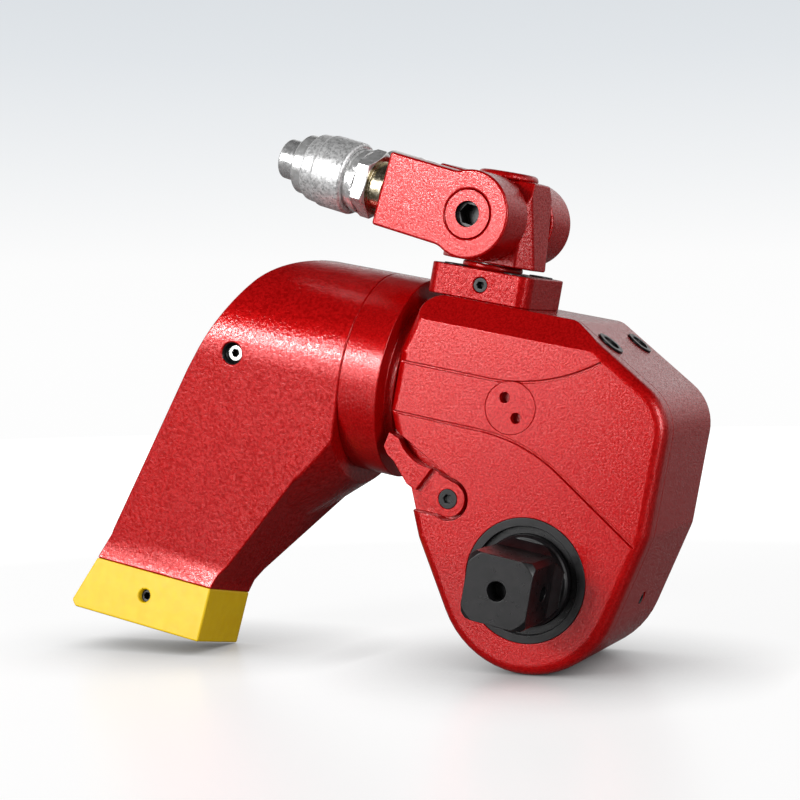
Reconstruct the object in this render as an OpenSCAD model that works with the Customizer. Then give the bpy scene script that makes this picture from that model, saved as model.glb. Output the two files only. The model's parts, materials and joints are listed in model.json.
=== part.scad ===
// Hydraulic torque wrench with a square drive, a splined reaction arm and a two-axis hose swivel.
// Tool axes: x runs along the cylinder towards the drive, y runs from the front cover to the rear,
// z is up, and the tool's own zero is on the drive axis at the middle of the thickness.
// The finished part stands on its nose and on the reaction boot, with its origin at the drive shoulder.

/* [Body] */
// Thickness of the body, front face to rear face
body_w = 70; // [66:0.5:80]
// Thickness of the front cover, and of the rear wall
cover_t = 10; // [9.5:0.5:12]
// Height of the cylinder axis above the drive axis
axis_h = 62.5; // [60:0.5:66]
// Radius of the nose round the drive axis
nose_r = 36; // [35.5:0.5:40]
// Wall between the nose and the ratchet chamber
nose_wall = 6; // [5:0.25:6.5]
// Drive axis to the top face
body_top = 99; // [98:0.5:104]
// Drive axis to the right side
body_right = 43; // [42:0.5:48]
// Drive axis to the left face
body_left = 66.5; // [65:0.5:69]
// Radius of the large upper right corner
corner_r = 20; // [16:0.5:22]
// Rounding of the front and rear edges
edge_r = 4.5; // [2:0.25:5.5]
// Height of the flat bevel between the top and the front face
bevel_h = 10; // [6:0.5:12]
// Depth of that bevel
bevel_d = 8; // [4:0.5:10]
// Width of the lines cut in the front face
line_w = 0.9; // [0.6:0.1:2]
// Depth of those lines
line_d = 1.1; // [0.4:0.1:1.4]

/* [Cylinder] */
// Radius of the cylinder bore
bore_r = 20; // [17:0.25:20]
// Radius of the piston rod
rod_r = 10; // [8:0.25:10]
// Stroke of the piston
stroke = 28; // [22:0.5:29]
// Rod pin to the drive axis at rest, along the cylinder
pin_back = 17.5; // [16:0.25:19]
// Radius of the rod pin
pin_r = 5; // [4:0.25:5.5]
// Outer radius of the cylinder's flange and of the arm's socket
flange_r = 40.5; // [39.5:0.25:43]
// Length of the flange
flange_len = 16.5; // [12:0.5:20]
// Gap between the flange and the body's left face
neck_len = 3.8; // [2:0.2:5]
// Number of spline teeth on the cylinder
spline_n = 36; // [24:1:48]
// Tip radius of the spline
spline_r = 33; // [32:0.25:34]
// Length of the spline
spline_len = 34; // [33:0.5:35]
// Radius of the pilot beyond the spline
pilot_r = 23.5; // [23.25:0.25:24]
// Length of the pilot
pilot_len = 11; // [10.5:0.25:11.5]

/* [Reaction arm] */
// Spline teeth that the arm is turned towards the front
arm_index = 1; // [0:1:3]
// Cylinder axis to the underside of the boot
arm_reach = 124.5; // [120:0.5:132]
// Height of the boot
boot_h = 22; // [18:0.5:26]
// Depth of the boot, front to rear
boot_d = 35; // [30:0.5:44]
// Right side of the boot, from the drive axis
boot_right = 131; // [128:0.5:136]
// Width of the boot along its top
boot_w = 55.5; // [50:0.5:62]
// Extra width of the boot along its underside
boot_flare = 8; // [2:0.5:12]
// Depth of the leg at its waist
waist_d = 33; // [28:0.5:38]

/* [Drive] */
// Side of the square drive
square = 25.4; // [25.4:0.1:26]
// Length of the square beyond the front face
square_len = 29.5; // [24:0.5:36]
// Outer radius of the front bush
bush_r = 23.7; // [22.5:0.1:25]
// Radius of the front journal of the drive
journal_r = 17.5; // [17:0.1:18]
// Number of ratchet teeth
ratchet_n = 30; // [24:1:40]
// Tip radius of the ratchet
ratchet_r = 25; // [24:0.25:26]
// Depth of the ratchet teeth
tooth_d = 2.8; // [2:0.1:3.4]
// Thickness of each drive plate
plate_t = 8.5; // [7:0.25:9]
// Travel of the retainer button
button_travel = 2.5; // [1.5:0.1:3]

/* [Release lever] */
// Lever pivot to the drive axis, along the cylinder
lever_back = 36.1; // [35.5:0.1:37]
// Lever pivot above the drive axis
lever_up = 23.3; // [22.5:0.1:24]
// Depth of the lever's pocket
pocket_d = 6; // [4.5:0.25:7]
// Radius of the lever's round end
lever_r = 6.9; // [6.6:0.1:7.5]
// Radius of the lever shaft
shaft_r = 4; // [3:0.1:4.2]

/* [Swivel] */
// Swivel post to the drive axis, along the cylinder
post_back = 47.4; // [46:0.2:48.4]
// Turn of the swivel on its post at rest, in degrees
swivel_turn = -4; // [-8:0.5:4]
// Height of the swivel base
base_h = 12; // [10:0.5:15]
// Width of the swivel base along the cylinder
base_w = 42.5; // [40:0.5:44]
// Depth of the swivel base
base_d = 42; // [38:0.5:46]
// Radius of the swivel post
post_r = 8; // [6:0.25:8]
// Hose arm pivot above the top face
pivot_up = 32; // [31:0.5:38]
// Pitch of the hose arms above the cylinder axis, in degrees
arm_pitch = 6.6; // [0:0.2:12]
// Depth of the swivel block
block_d = 23; // [21:0.5:26]
// Width of the swivel block at its foot
block_w = 40.5; // [36:0.5:42]
// Width of the swivel block at its top
block_top_w = 30.5; // [28:0.5:34]
// Thickness of each hose arm
hose_arm_t = 19; // [17:0.5:22]
// Radius of a hose arm's round end
hose_arm_r = 17; // [15:0.25:17.5]
// Height of a hose arm
hose_arm_h = 29.2; // [26:0.2:31]
// Pivot to the hose end of an arm
hose_arm_len = 38.9; // [36:0.1:42]
// Radius of the round cap in an arm's face
pivot_cap_r = 9.3; // [9:0.1:10.5]
// Outer radius of the coupler sleeve
sleeve_r = 14.5; // [13.5:0.1:15.5]
// Travel of the coupler sleeve
sleeve_travel = 2; // [1:0.1:2.5]

/* [Clearances] */
// Radial clearance of a running fit
run_fit = 0.05; // [0.03:0.01:0.08]
// Radial clearance of a pressed or threaded fit
seat_fit = 0.03; // [0.02:0.01:0.05]
// Gap between pieces that move past each other
move_gap = 0.3; // [0.25:0.05:0.5]

/* [Hidden] */
$fn = 64;
hull_fn = 48;
over = 1;
red = "#b3121c";
steel = "#b9bcc0";
black = "#1d1d20";
yellow = "#f0cc1e";
bronze = "#a9793a";
rubber = "#222222";

// Body layout
half = body_w / 2;
chamber = half - cover_t;
slope = 30;
top_r = 8;
side_r = 6;
heel_r = 11;
flank_r = 10;
flank_z = 27;
top_left = 62;
side_up = 12.5;
side_down = 9.5;
upper_x = body_right - corner_r;
slope_off = sin(slope) * upper_x + cos(slope) * axis_h + corner_r;
top_x = (slope_off - top_r - cos(slope) * (body_top - top_r)) / sin(slope);
// Circles that the outline wraps, each as x, z and radius, in order round the body
outline = [
    [0, 0, nose_r],
    [body_right - flank_r, flank_z, flank_r],
    [upper_x, axis_h, corner_r],
    [top_x, body_top - top_r, top_r],
    [top_r - top_left, body_top - top_r, top_r],
    [side_r - body_left, axis_h + side_up, side_r],
    [side_r - body_left, axis_h - side_down, side_r],
    [-lever_back - 0.5, lever_up - 12.3, heel_r]
];
arc_step = 7;
edge_steps = 4;

// Linkage layout
boss_r = 11;
room = 1.2;
pin_out = stroke - pin_back;
link_r = norm([pin_back, axis_h]);
link_rise = link_r - axis_h;
hold_room = 10;
chamber_r = nose_r - nose_wall;
plate_out = chamber - move_gap;
plate_in = plate_out - plate_t;
wheel_half = plate_in - move_gap;
hub_r = 21;
plate_r = chamber_r - 1.5;
pawl_angle = 95;
pawl_pivot_r = 42;
pawl_tip_angle = 66;
pawl_hub_r = 6;
pawl_pin_r = 4;
nib_r = 1.5;
nib_track = ratchet_r + move_gap + nib_r;
hold_angle = 120;
hold_hub_r = 7;
pawl_half = wheel_half - 0.4;

// Cylinder layout, along x
flange_x1 = -body_left - neck_len;
flange_x0 = flange_x1 - flange_len;
spline_x0 = flange_x0 - spline_len;
pilot_x0 = spline_x0 - pilot_len;
cap_len = 9;
cap_spigot = 4;
stub_r = 12;
stub_x0 = pilot_x0 - 6.2;
bore_x0 = pilot_x0 + cap_len;
bore_x1 = -body_left + 2;
gland_len = 13.2;
seal_len = 4;
gland_r = rod_r + 4;
gland_x1 = bore_x1 + gland_len + seal_len + 0.2;
nut_len = 7;
piston_len = 16;
nut_x0 = bore_x0 + cap_spigot + 0.5;
piston_x0 = nut_x0 + nut_len;
rod_x0 = piston_x0 + piston_len;
spline_d = 2;
neck_in = 8;

// Reaction arm layout, measured from the cylinder axis
arm_turn = -arm_index * 360 / spline_n;
socket_x0 = spline_x0 - 1;
pilot_end = pilot_x0 - 1;
stub_end = stub_x0 - 1;
leg_z = boot_h - arm_reach;
waist_z = leg_z + 11;
boot_left = boot_right + boot_w;
bend_r = 32;
bend_x = flange_x0 - 21;
arm_top = flange_r + 0.5;
bend_z = arm_top - bend_r;
arm_knee = [31.5 - boot_left, leg_z + 84.5];
arm_ankle = [4 - boot_left, leg_z + 13.5];
arm_toe = [1.5 - boot_right, leg_z + 5.5];
arm_cut = [flange_x0, leg_z + 73.5];
cone_r = flange_r + 6;
cone_len = 30;
cone_grow = 0.85;
tongue_h = 14;
tongue_in = 7;
tongue_d = 18;

// Rest pose: the nose and the lowest corner of the boot stand on one floor
foot_y = boot_d / 2;
foot_x = -boot_right;
foot_z = axis_h + foot_y * sin(arm_turn) - arm_reach * cos(arm_turn);
rest_tilt = -acos(-nose_r / norm([foot_x, foot_z])) - atan2(foot_x, foot_z);

// Drive layout, along y
journal_back = -plate_out;
drive_spline_n = 24;
drive_spline_r = 16.4;
drive_spline_d = 1.3;
tail_r = 14.5;
tail_bush_r = 20;
shaft_end = half - 1;
corner_cut_r = 16.7;
collar_out = 2;
root_flare = 2.6;
root_len = 4.5;
tip_cut = 1.8;
journal_len = half + collar_out + journal_back;
pin_hole_r = 3;
tip_hole_r = 3.6;
cap_disc_r = 17;
cap_gap = 0.3;
cap_disc_t = 3;
cap_spigot_r = 9;
button_r = 5;
button_flange_r = 6.6;

// Swivel layout
base_top = body_top + base_h;
base_off = 2.9;
base_corner = 5;
washer_t = 2.2;
block_z0 = base_top + washer_t + 0.2;
pivot_z = body_top + pivot_up;
block_z1 = pivot_z + 16;
arm_back = block_d / 2 + 0.5;
arm_front = arm_back + hose_arm_t;
coupler_y = (arm_back + arm_front) / 2;
bolt_r = 7;
bolt_thread_r = 6;
cap_t = 4;
port_r = 8;
port_len = 10;

// Screws that hold the cover, from the rear
cover_screw_at = [
    [-50, axis_h + 19.5],
    [upper_x + 2, axis_h + 14.5],
    [body_right - 7, 48],
    [body_right - 7.5, 20],
    [-body_left + 9.5, axis_h - 18]
];
screw_r = 2.5;
screw_head_r = 4.25;
screw_head_h = 5;
screw_bite = 6.4;

// Fittings of the body
handle_hole_r = 5.5;
handle_hole_len = 12;
handle_y = chamber - handle_hole_r - 0.5;
handle_up = 24.75;
plug_r = 10;
plug_t = 6;
base_screw_r = 3;
base_head_r = 4.75;
base_head_h = 6;
base_head_up = 0.5;
base_screw_len = 15;
base_screw_x = base_w / 2 - 8.75;
base_screw_y = base_d / 2 - 6.5;
set_screw_r = 2.5;
base_set_r = 2.9;
nose_screw_angle = -4;
arc_steps = 12;
lever_y0 = -half + move_gap;
lever_y1 = -half + pocket_d - move_gap;
lever_head_r = 3.8;
lever_head_h = 2.8;
lever_screw_r = 2;
lever_screw_len = 12;
pawl_rear = 4;
pawl_at = at_angle(pawl_pivot_r, pawl_angle);

// Fittings of the reaction arm
lock_x = (pilot_x0 + stub_x0) / 2 - 0.4;
lock_angle = 12;
lock_r = 3.2;
lock_recess_r = 4.4;
lock_sunk = 3.6;
boot_screw_x = -(boot_right + boot_left) / 2 - 1.5;
boot_screw_z = leg_z - boot_h * 0.45;
boot_screw_r = 2.6;
boot_screw_sunk = 2.4;

// Fittings of the swivel post
post_end = pivot_z + 12.5;
clip_z = post_end - 3;
clip_pocket_r = post_r + 2.2;
seal_at = [pivot_z - 12, pivot_z + 1, pivot_z + 7];

// Couplers, along the hose from the arm's end
hex_r = 13.8;
neck_r = 9.6;
neck_z = 5.8;
hex_z = 12.3;
lip_r = 12.8;
lip_z = 14.1;
sleeve_z0 = lip_z + sleeve_travel + 0.2;
sleeve_len = 19.8;
sleeve_z1 = sleeve_z0 + sleeve_len;
tube_r = sleeve_r - 2.5;
collar_z = sleeve_z1 + 5.3;
nose_z = collar_z + 8.9;
hose_nose_r = 8.1;
oil_r = 4.2;

function at_angle(r, a) = [r * cos(a), r * sin(a)];
function reversed(list) = [for (i = [len(list) - 1 : -1 : 0]) list[i]];

function spline_points(n, root, tip, grow) = [
    for (i = [0 : n - 1])
    for (k = [[-0.30, root], [-0.20, tip], [0.20, tip], [0.30, root]])
    let (a = (i + k[0] + sign(k[0]) * grow) * 360 / n)
    [k[1] * cos(a), k[1] * sin(a)]
];
function ratchet_points(n, root, tip) = [
    for (i = [0 : n - 1])
    for (k = [[0, tip], [0.12, root], [0.62, (root + tip) / 2]])
    let (a = (i + k[0]) * 360 / n)
    [k[1] * cos(a), k[1] * sin(a)]
];

module standing() {
    rotate([0, rest_tilt, 0]) translate([0, half, 0]) children();
}
module cylinder_frame() {
    standing() translate([0, 0, axis_h]) children();
}
module arm_frame() {
    cylinder_frame() rotate([arm_turn, 0, 0]) children();
}
module swivel_frame() {
    standing() translate([-post_back, 0, 0]) rotate([0, 0, swivel_turn]) children();
}
module hose_frame(side) {
    swivel_frame() translate([0, 0, pivot_z]) rotate([0, arm_pitch, 0]) to_side(side) children();
}
module to_side(side) {
    if (side < 0) children();
    else mirror([0, 1, 0]) children();
}
// The hose end of an arm, with z pointing out along the hose
module hose_end(side) {
    hose_frame(side) translate([-hose_arm_len, -coupler_y, 0]) rotate([0, -90, 0]) children();
}
module along_x(x0, x1, r) {
    translate([x0, 0, 0]) rotate([0, 90, 0]) cylinder(h = x1 - x0, r = r);
}
module along_y(y0, y1, r) {
    translate([0, y0, 0]) rotate([-90, 0, 0]) cylinder(h = y1 - y0, r = r);
}
module extrude_y(y0, y1) {
    translate([0, y1, 0]) rotate([90, 0, 0]) linear_extrude(y1 - y0) children();
}
module extrude_x(x0, x1) {
    translate([x0, 0, 0]) rotate([90, 0, 90]) linear_extrude(x1 - x0) children();
}
module ring(r0, r1, h) {
    rotate_extrude() translate([r0, 0]) square([r1 - r0, h]);
}
module o_ring(r, wire) {
    rotate_extrude() translate([r, 0]) circle(wire, $fn = 24);
}
// A socket screw along -z, with the top of its head at z = 0
module socket_screw(r, len, head_r, head_h, key) {
    difference() {
        union() {
            translate([0, 0, -head_h]) cylinder(h = head_h, r = head_r);
            translate([0, 0, -head_h - len]) cylinder(h = len, r = r);
        }
        translate([0, 0, -head_h * 0.6]) cylinder(h = head_h, r = key, $fn = 6);
    }
}
// A round-wire coil about z, from z = 0 up
module coil(r, wire, turns, pitch) {
    sides = 6;
    steps = 16;
    rings = turns * steps;
    points = [
        for (i = [0 : rings])
        for (j = [0 : sides - 1])
        let (a = i * 360 / steps, b = j * 360 / sides, q = r + wire * cos(b))
        [q * cos(a), q * sin(a), wire + i * pitch / steps + wire * sin(b)]
    ];
    walls = [
        for (i = [0 : rings - 1])
        for (j = [0 : sides - 1])
        let (k = (j + 1) % sides)
        [i * sides + j, (i + 1) * sides + j, (i + 1) * sides + k, i * sides + k]
    ];
    start = [for (j = [0 : sides - 1]) j];
    end = [for (j = [sides - 1 : -1 : 0]) rings * sides + j];
    polyhedron(points, concat(walls, [start], [end]));
}

// Angle of the outward normal of the straight side between circle i and the next one
function side_angle(i) = let (
    c = outline[(i + len(outline)) % len(outline)],
    d = outline[(i + 1) % len(outline)],
    gap = [d[0] - c[0], d[1] - c[1]]
) atan2(gap[1], gap[0]) - acos((c[2] - d[2]) / norm(gap));
function outline_points(inset) = [
    for (i = [0 : len(outline) - 1])
    let (
        c = outline[i],
        a0 = side_angle(i - 1),
        span = (side_angle(i) - a0 + 720) % 360,
        n = ceil(span / arc_step)
    )
    for (k = [0 : n])
    let (a = a0 + span * k / n)
    [c[0] + (c[2] - inset) * cos(a), c[1] + (c[2] - inset) * sin(a)]
];
// The body's outline between a flat joint face and a face with rounded edges
module body_slab(joint_y, face_y) {
    way = sign(face_y - joint_y);
    edge = [
        for (i = [0 : edge_steps])
        let (t = 90 * i / edge_steps)
        [face_y - way * edge_r * (1 - sin(t)), edge_r * (1 - cos(t))]
    ];
    layers = concat([[joint_y, 0]], edge);
    n = len(outline_points(0));
    points = [for (l = layers) for (p = outline_points(l[1])) [p[0], l[0], p[1]]];
    walls = [
        for (l = [0 : len(layers) - 2])
        for (i = [0 : n - 1])
        let (j = (i + 1) % n, q = [l * n + i, l * n + j, (l + 1) * n + j, (l + 1) * n + i])
        way > 0 ? q : reversed(q)
    ];
    near = [for (i = [0 : n - 1]) i];
    far = [for (i = [0 : n - 1]) (len(layers) - 1) * n + i];
    polyhedron(points, concat(walls, [way > 0 ? reversed(near) : near, way > 0 ? far : reversed(far)]));
}
module chamber_outline() {
    hull() {
        circle(chamber_r, $fn = hull_fn);
        translate([-lever_back, lever_up]) circle(hold_room, $fn = hull_fn);
        for (x = [pin_out + 1.5, -pin_back - 12.5])
            translate([x, axis_h + link_rise]) circle(boss_r + room, $fn = hull_fn);
    }
}
module cover_screw_places(y) {
    for (p = cover_screw_at)
        translate([p[0], y, p[1]]) children();
}
module handle_hole_places() {
    for (y = [-handle_y, handle_y])
        translate([upper_x + corner_r * sin(slope) - handle_up * cos(slope), y,
                   axis_h + corner_r * cos(slope) + handle_up * sin(slope)])
            rotate([0, slope, 0]) children();
}
module base_screw_places() {
    for (x = [-1, 1])
        for (y = [-1, 1])
            translate([base_off - post_back + x * base_screw_x, y * base_screw_y, base_top]) children();
}

module main_housing() {
    color(red) standing() difference() {
        union() {
            body_slab(-chamber, half);
            translate([0, 0, axis_h]) {
                along_x(flange_x0, flange_x1, flange_r);
                along_x(flange_x1 - over, -body_left, spline_r);
                intersection() {
                    along_x(-body_left - over, -body_left + neck_in, spline_r);
                    translate([-body_left - over, -chamber, -spline_r])
                        cube([neck_in + 2 * over, body_w, 2 * spline_r]);
                }
                along_x(pilot_x0, spline_x0 + over, pilot_r);
                translate([spline_x0, 0, 0]) rotate([0, 90, 0]) linear_extrude(spline_len + over)
                    polygon(spline_points(spline_n, spline_r - spline_d, spline_r, 0));
            }
        }
        extrude_y(-chamber - over, chamber) chamber_outline();
        translate([0, 0, axis_h]) {
            along_x(bore_x0 - over, bore_x1, bore_r);
            along_x(pilot_x0 - over, bore_x0, bore_r + 1.5);
            along_x(bore_x1 - over, gland_x1, gland_r);
            along_x(gland_x1 - over, -pin_back - 10, rod_r + 1);
        }
        along_y(chamber - over, half + over, tail_bush_r + seat_fit);
        translate([-lever_back, 0, lever_up]) along_y(chamber - over, chamber + 6, shaft_r + run_fit);
        cover_screw_places(-half) along_y(0, body_w + over, screw_r + 0.2);
        cover_screw_places(half - screw_head_h - 0.4) along_y(0, screw_head_h + 2, screw_head_r + 0.4);
        handle_hole_places() translate([0, 0, -handle_hole_len])
            cylinder(h = handle_hole_len + 5, r = handle_hole_r);
        base_screw_places() translate([0, 0, -base_head_h - base_screw_len + base_head_up])
            cylinder(h = base_screw_len, r = base_screw_r + seat_fit);
        rotate([0, 90 - nose_screw_angle, 0]) translate([0, 0, nose_r - nose_wall - over])
            cylinder(h = 20, r = set_screw_r);
    }
}
module lever_pocket() {
    circle(lever_r + 1.4);
    polygon([[2.6, 7], [-42, 29.7], [-42, -7.5], [0, -7.5]]);
}
// Points along one side of a face line: a straight run, an arc and, after it, a straight tail
function line_side(z, r, turn, tail, side) = let (
    start_x = -body_left - over,
    turn_x = -28,
    bend = sign(r),
    q = abs(r) - bend * side * line_w / 2
) concat(
    [[start_x, z + side * line_w / 2]],
    [
        for (i = [0 : arc_steps])
        let (t = turn * i / arc_steps)
        [turn_x + q * sin(t), z + r - bend * q * cos(t)]
    ],
    tail > 0
        ? [[turn_x + q * sin(turn) + tail * cos(turn), z + r - bend * (q * cos(turn) - tail * sin(turn))]]
        : []
);
module face_line(z, r, turn, tail) {
    extrude_y(-half - over, -half + line_d)
        polygon(concat(line_side(z, r, turn, tail, -1), reversed(line_side(z, r, turn, tail, 1))));
}
module face_lines() {
    face_line(axis_h + 9, 70, 37, 0);
    face_line(axis_h - 10.7, -64, 32, 38.5);
}
module side_cover() {
    color(red) standing() difference() {
        body_slab(-chamber, -half);
        translate([-body_left - 10, -half, body_top - bevel_h]) rotate([-atan2(bevel_d, bevel_h), 0, 0])
            translate([0, -20, -20]) cube([body_left + body_right + 20, 20, 60]);
        along_y(-half - over, -chamber + over, bush_r + seat_fit);
        translate([-pin_back, 0, axis_h]) {
            along_y(-half - over, -half + plug_t, plug_r + seat_fit);
            along_y(-half, -chamber + over, pin_r + 1.5);
        }
        translate([-lever_back, 0, lever_up]) {
            extrude_y(-half - over, -half + pocket_d) lever_pocket();
            along_y(-half, -chamber + over, shaft_r + run_fit);
        }
        cover_screw_places(-chamber - screw_bite - 0.4)
            along_y(0, screw_bite + 0.4 + over, screw_r + seat_fit);
        face_lines();
    }
}
module cover_screws() {
    sunk = 0.4;
    len = 2 * chamber + cover_t - screw_head_h - sunk + screw_bite;
    color(black) standing() cover_screw_places(half - sunk) rotate([-90, 0, 0])
        socket_screw(screw_r, len, screw_head_r, screw_head_h, 2.3);
}
module pin_access_plug() {
    color(red) standing() translate([-pin_back, -half, axis_h]) difference() {
        along_y(0, plug_t - 0.1, plug_r);
        for (s = [-1, 1])
            translate([s * 2.9, 0, -s * 3.4]) along_y(-over, 4, 2);
    }
}
module front_drive_bush() {
    lip = 3.2;
    recess = 2.5;
    color(black) standing() translate([0, -half, 0]) rotate([-90, 0, 0]) difference() {
        cylinder(h = cover_t, r = bush_r);
        translate([0, 0, -over]) cylinder(h = cover_t + 2 * over, r = journal_r + run_fit);
        translate([0, 0, -over]) cylinder(h = recess + over, r = bush_r - lip);
    }
}
module rear_drive_bush() {
    color(bronze) standing() translate([0, chamber, 0]) rotate([-90, 0, 0])
        ring(tail_r + run_fit, tail_bush_r, cover_t);
}
// The stub on the end cap is what the arm's lock screw presses on
module cylinder_end_cap() {
    color(steel) cylinder_frame() difference() {
        union() {
            along_x(pilot_x0, bore_x0, bore_r + 1.5 - seat_fit);
            along_x(bore_x0, bore_x0 + cap_spigot, bore_r - seat_fit);
            along_x(stub_x0, pilot_x0 + over, stub_r);
        }
        translate([bore_x0 + 1, 0, 0]) rotate([0, 90, 0]) ring(bore_r - 2.4, bore_r + over, 2.4);
        for (s = [-1, 1])
            translate([0, s * 16.5, 0]) along_x(pilot_x0 - over, pilot_x0 + 5, 2);
    }
}
module end_cap_seal() {
    color(rubber) cylinder_frame() translate([bore_x0 + 2.2, 0, 0]) rotate([0, 90, 0])
        o_ring(bore_r - 1.25, 1.1);
}
module rod_gland() {
    color(bronze) cylinder_frame() translate([bore_x1 + 0.1, 0, 0]) rotate([0, 90, 0])
        ring(rod_r + run_fit, gland_r - seat_fit, gland_len);
}
module rod_seal() {
    color(rubber) cylinder_frame() translate([gland_x1 - seal_len, 0, 0]) rotate([0, 90, 0])
        ring(rod_r + run_fit, gland_r - seat_fit, seal_len);
}
module handle_hole_plugs() {
    proud = 0.8;
    depth = handle_hole_len - 3;
    color(black) standing() handle_hole_places() difference() {
        translate([0, 0, -depth]) cylinder(h = depth + proud, r = handle_hole_r - seat_fit);
        translate([0, 0, -0.2]) cylinder(h = depth, r = handle_hole_r - 2.1);
    }
}
module nose_set_screw() {
    color(black) standing() rotate([0, 90 - nose_screw_angle, 0]) translate([0, 0, nose_r - 5])
        difference() {
            cylinder(h = 5.2, r = set_screw_r - seat_fit);
            translate([0, 0, 2.6]) cylinder(h = 5, r = 1.4, $fn = 6);
        }
}
module base_set_screw_place() {
    translate([base_off - post_back + 1.1, -base_d / 2, body_top + base_h / 2]) children();
}
module swivel_base() {
    x = base_w / 2 - base_corner;
    y = base_d / 2 - base_corner;
    color(red) standing() difference() {
        translate([base_off - post_back, 0, body_top]) {
            translate([-x, -base_d / 2, 0]) cube([2 * x, base_d, base_h]);
            translate([-base_w / 2, -y, 0]) cube([base_w, 2 * y, base_h]);
            for (i = [-1, 1])
                for (j = [-1, 1])
                    translate([i * x, j * y, 0]) cylinder(h = base_h, r = base_corner);
        }
        translate([-post_back, 0, body_top - over]) {
            cylinder(h = base_h + 2 * over, r = post_r + 1 + seat_fit);
            cylinder(h = 3 + over, r = post_r + 5);
        }
        base_screw_places() {
            translate([0, 0, -base_h - over]) cylinder(h = base_h + 2 * over, r = base_screw_r + 0.2);
            translate([0, 0, base_head_up - base_head_h])
                cylinder(h = base_head_h + over, r = base_head_r + 0.3);
        }
        base_set_screw_place() along_y(-over, 9, base_set_r);
    }
}
module swivel_base_screws() {
    color(black) standing() base_screw_places() translate([0, 0, base_head_up])
        socket_screw(base_screw_r, base_screw_len - 0.5, base_head_r, base_head_h, 2.9);
}
module swivel_base_set_screw() {
    color(black) standing() base_set_screw_place() difference() {
        along_y(0.6, 8.9, base_set_r - seat_fit);
        translate([0, 3.6, 0]) rotate([90, 0, 0]) cylinder(h = 5, r = 1.5, $fn = 6);
    }
}
module swivel_post() {
    color(steel) standing() translate([-post_back, 0, 0]) difference() {
        union() {
            translate([0, 0, body_top]) cylinder(h = 2.9, r = post_r + 4.9);
            translate([0, 0, body_top]) cylinder(h = base_h, r = post_r + 1);
            translate([0, 0, body_top]) cylinder(h = post_end - body_top, r = post_r);
        }
        translate([0, 0, clip_z]) ring(post_r - 1, post_r + over, 1.4);
        for (z = seal_at)
            translate([0, 0, z - 1.1]) ring(post_r - 1.5, post_r + over, 2.2);
    }
}
module post_seals() {
    color(rubber) standing() translate([-post_back, 0, 0])
        for (z = seal_at)
            translate([0, 0, z]) o_ring(post_r - 0.75, 0.7);
}
module thrust_washer() {
    color(steel) standing() translate([-post_back, 0, base_top])
        ring(post_r + run_fit, post_r + 4, washer_t);
}

// Side view of the arm, from the cylinder axis: round top bend, bent back and a slanted front edge
module arm_side() {
    back = arm_knee - [bend_x, bend_z];
    lean = atan2(back[1], back[0]) - acos(bend_r / norm(back));
    touch = [bend_x + bend_r * cos(lean), bend_z + bend_r * sin(lean)];
    polygon([[flange_x0, arm_top], [bend_x, arm_top], [bend_x, bend_z], touch, arm_knee, arm_ankle,
             [-boot_left, leg_z], [-boot_right, leg_z], arm_toe, arm_cut]);
    intersection() {
        translate([bend_x, bend_z]) circle(bend_r);
        polygon([[bend_x, bend_z], [bend_x + over, 2 * flange_r], [-2 * boot_left, 2 * flange_r],
                 [-2 * boot_left, bend_z], touch]);
    }
}
// Turned cone that carries the lower half of the socket into the leg
module arm_cone() {
    intersection() {
        translate([flange_x0 - cone_len, 0, 0]) rotate([0, 90, 0])
            cylinder(h = cone_len, r1 = cone_r + cone_grow * cone_len, r2 = cone_r);
        translate([flange_x0 - cone_len - over, -2 * flange_r, -4 * flange_r])
            cube([cone_len + 2 * over, 4 * flange_r, 4 * flange_r]);
    }
}
// End view of the arm, along the cylinder: round socket running down into the leg
module arm_end() {
    waist = [waist_d / 2, waist_z];
    a = atan2(waist[1], waist[0]) + acos(flange_r / norm(waist));
    touch = flange_r * [cos(a), sin(a)];
    circle(flange_r);
    polygon([touch, waist, [boot_d / 2, leg_z],
             [-boot_d / 2, leg_z], [-waist[0], waist[1]], [-touch[0], touch[1]]]);
}
module arm_lock_place() {
    translate([lock_x, 0, 0]) rotate([90 + lock_angle, 0, 0]) children();
}
module reaction_arm() {
    color(red) arm_frame() difference() {
        union() {
            intersection() {
                extrude_x(-2 * boot_left, 0) arm_end();
                union() {
                    extrude_y(-2 * flange_r, 2 * flange_r) arm_side();
                    arm_cone();
                }
            }
            translate([-boot_left + tongue_in, -tongue_d / 2, leg_z - tongue_h])
                cube([boot_w - 2 * tongue_in, tongue_d, tongue_h + over]);
        }
        translate([socket_x0, 0, 0]) rotate([0, 90, 0]) linear_extrude(spline_len + 10)
            polygon(spline_points(spline_n, spline_r - spline_d + move_gap, spline_r + move_gap, 0.05));
        along_x(pilot_end, socket_x0 + over, pilot_r + move_gap);
        along_x(stub_end, pilot_end + over, stub_r + move_gap);
        arm_lock_place() {
            translate([0, 0, stub_r]) cylinder(h = 2 * flange_r, r = lock_r);
            translate([0, 0, flange_r - lock_sunk]) cylinder(h = 2 * flange_r, r = lock_recess_r);
        }
        translate([boot_screw_x, 0, boot_screw_z])
            along_y(-tongue_d / 2 - over, tongue_d / 2 - 4, boot_screw_r + seat_fit);
    }
}
module arm_lock_screw() {
    top = flange_r - lock_sunk + 0.4;
    low = stub_r + 2 * move_gap;
    color(black) arm_frame() arm_lock_place() difference() {
        translate([0, 0, low]) cylinder(h = top - low, r = lock_r - seat_fit);
        translate([0, 0, top - 3]) cylinder(h = 10, r = 1.7, $fn = 6);
    }
}
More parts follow.
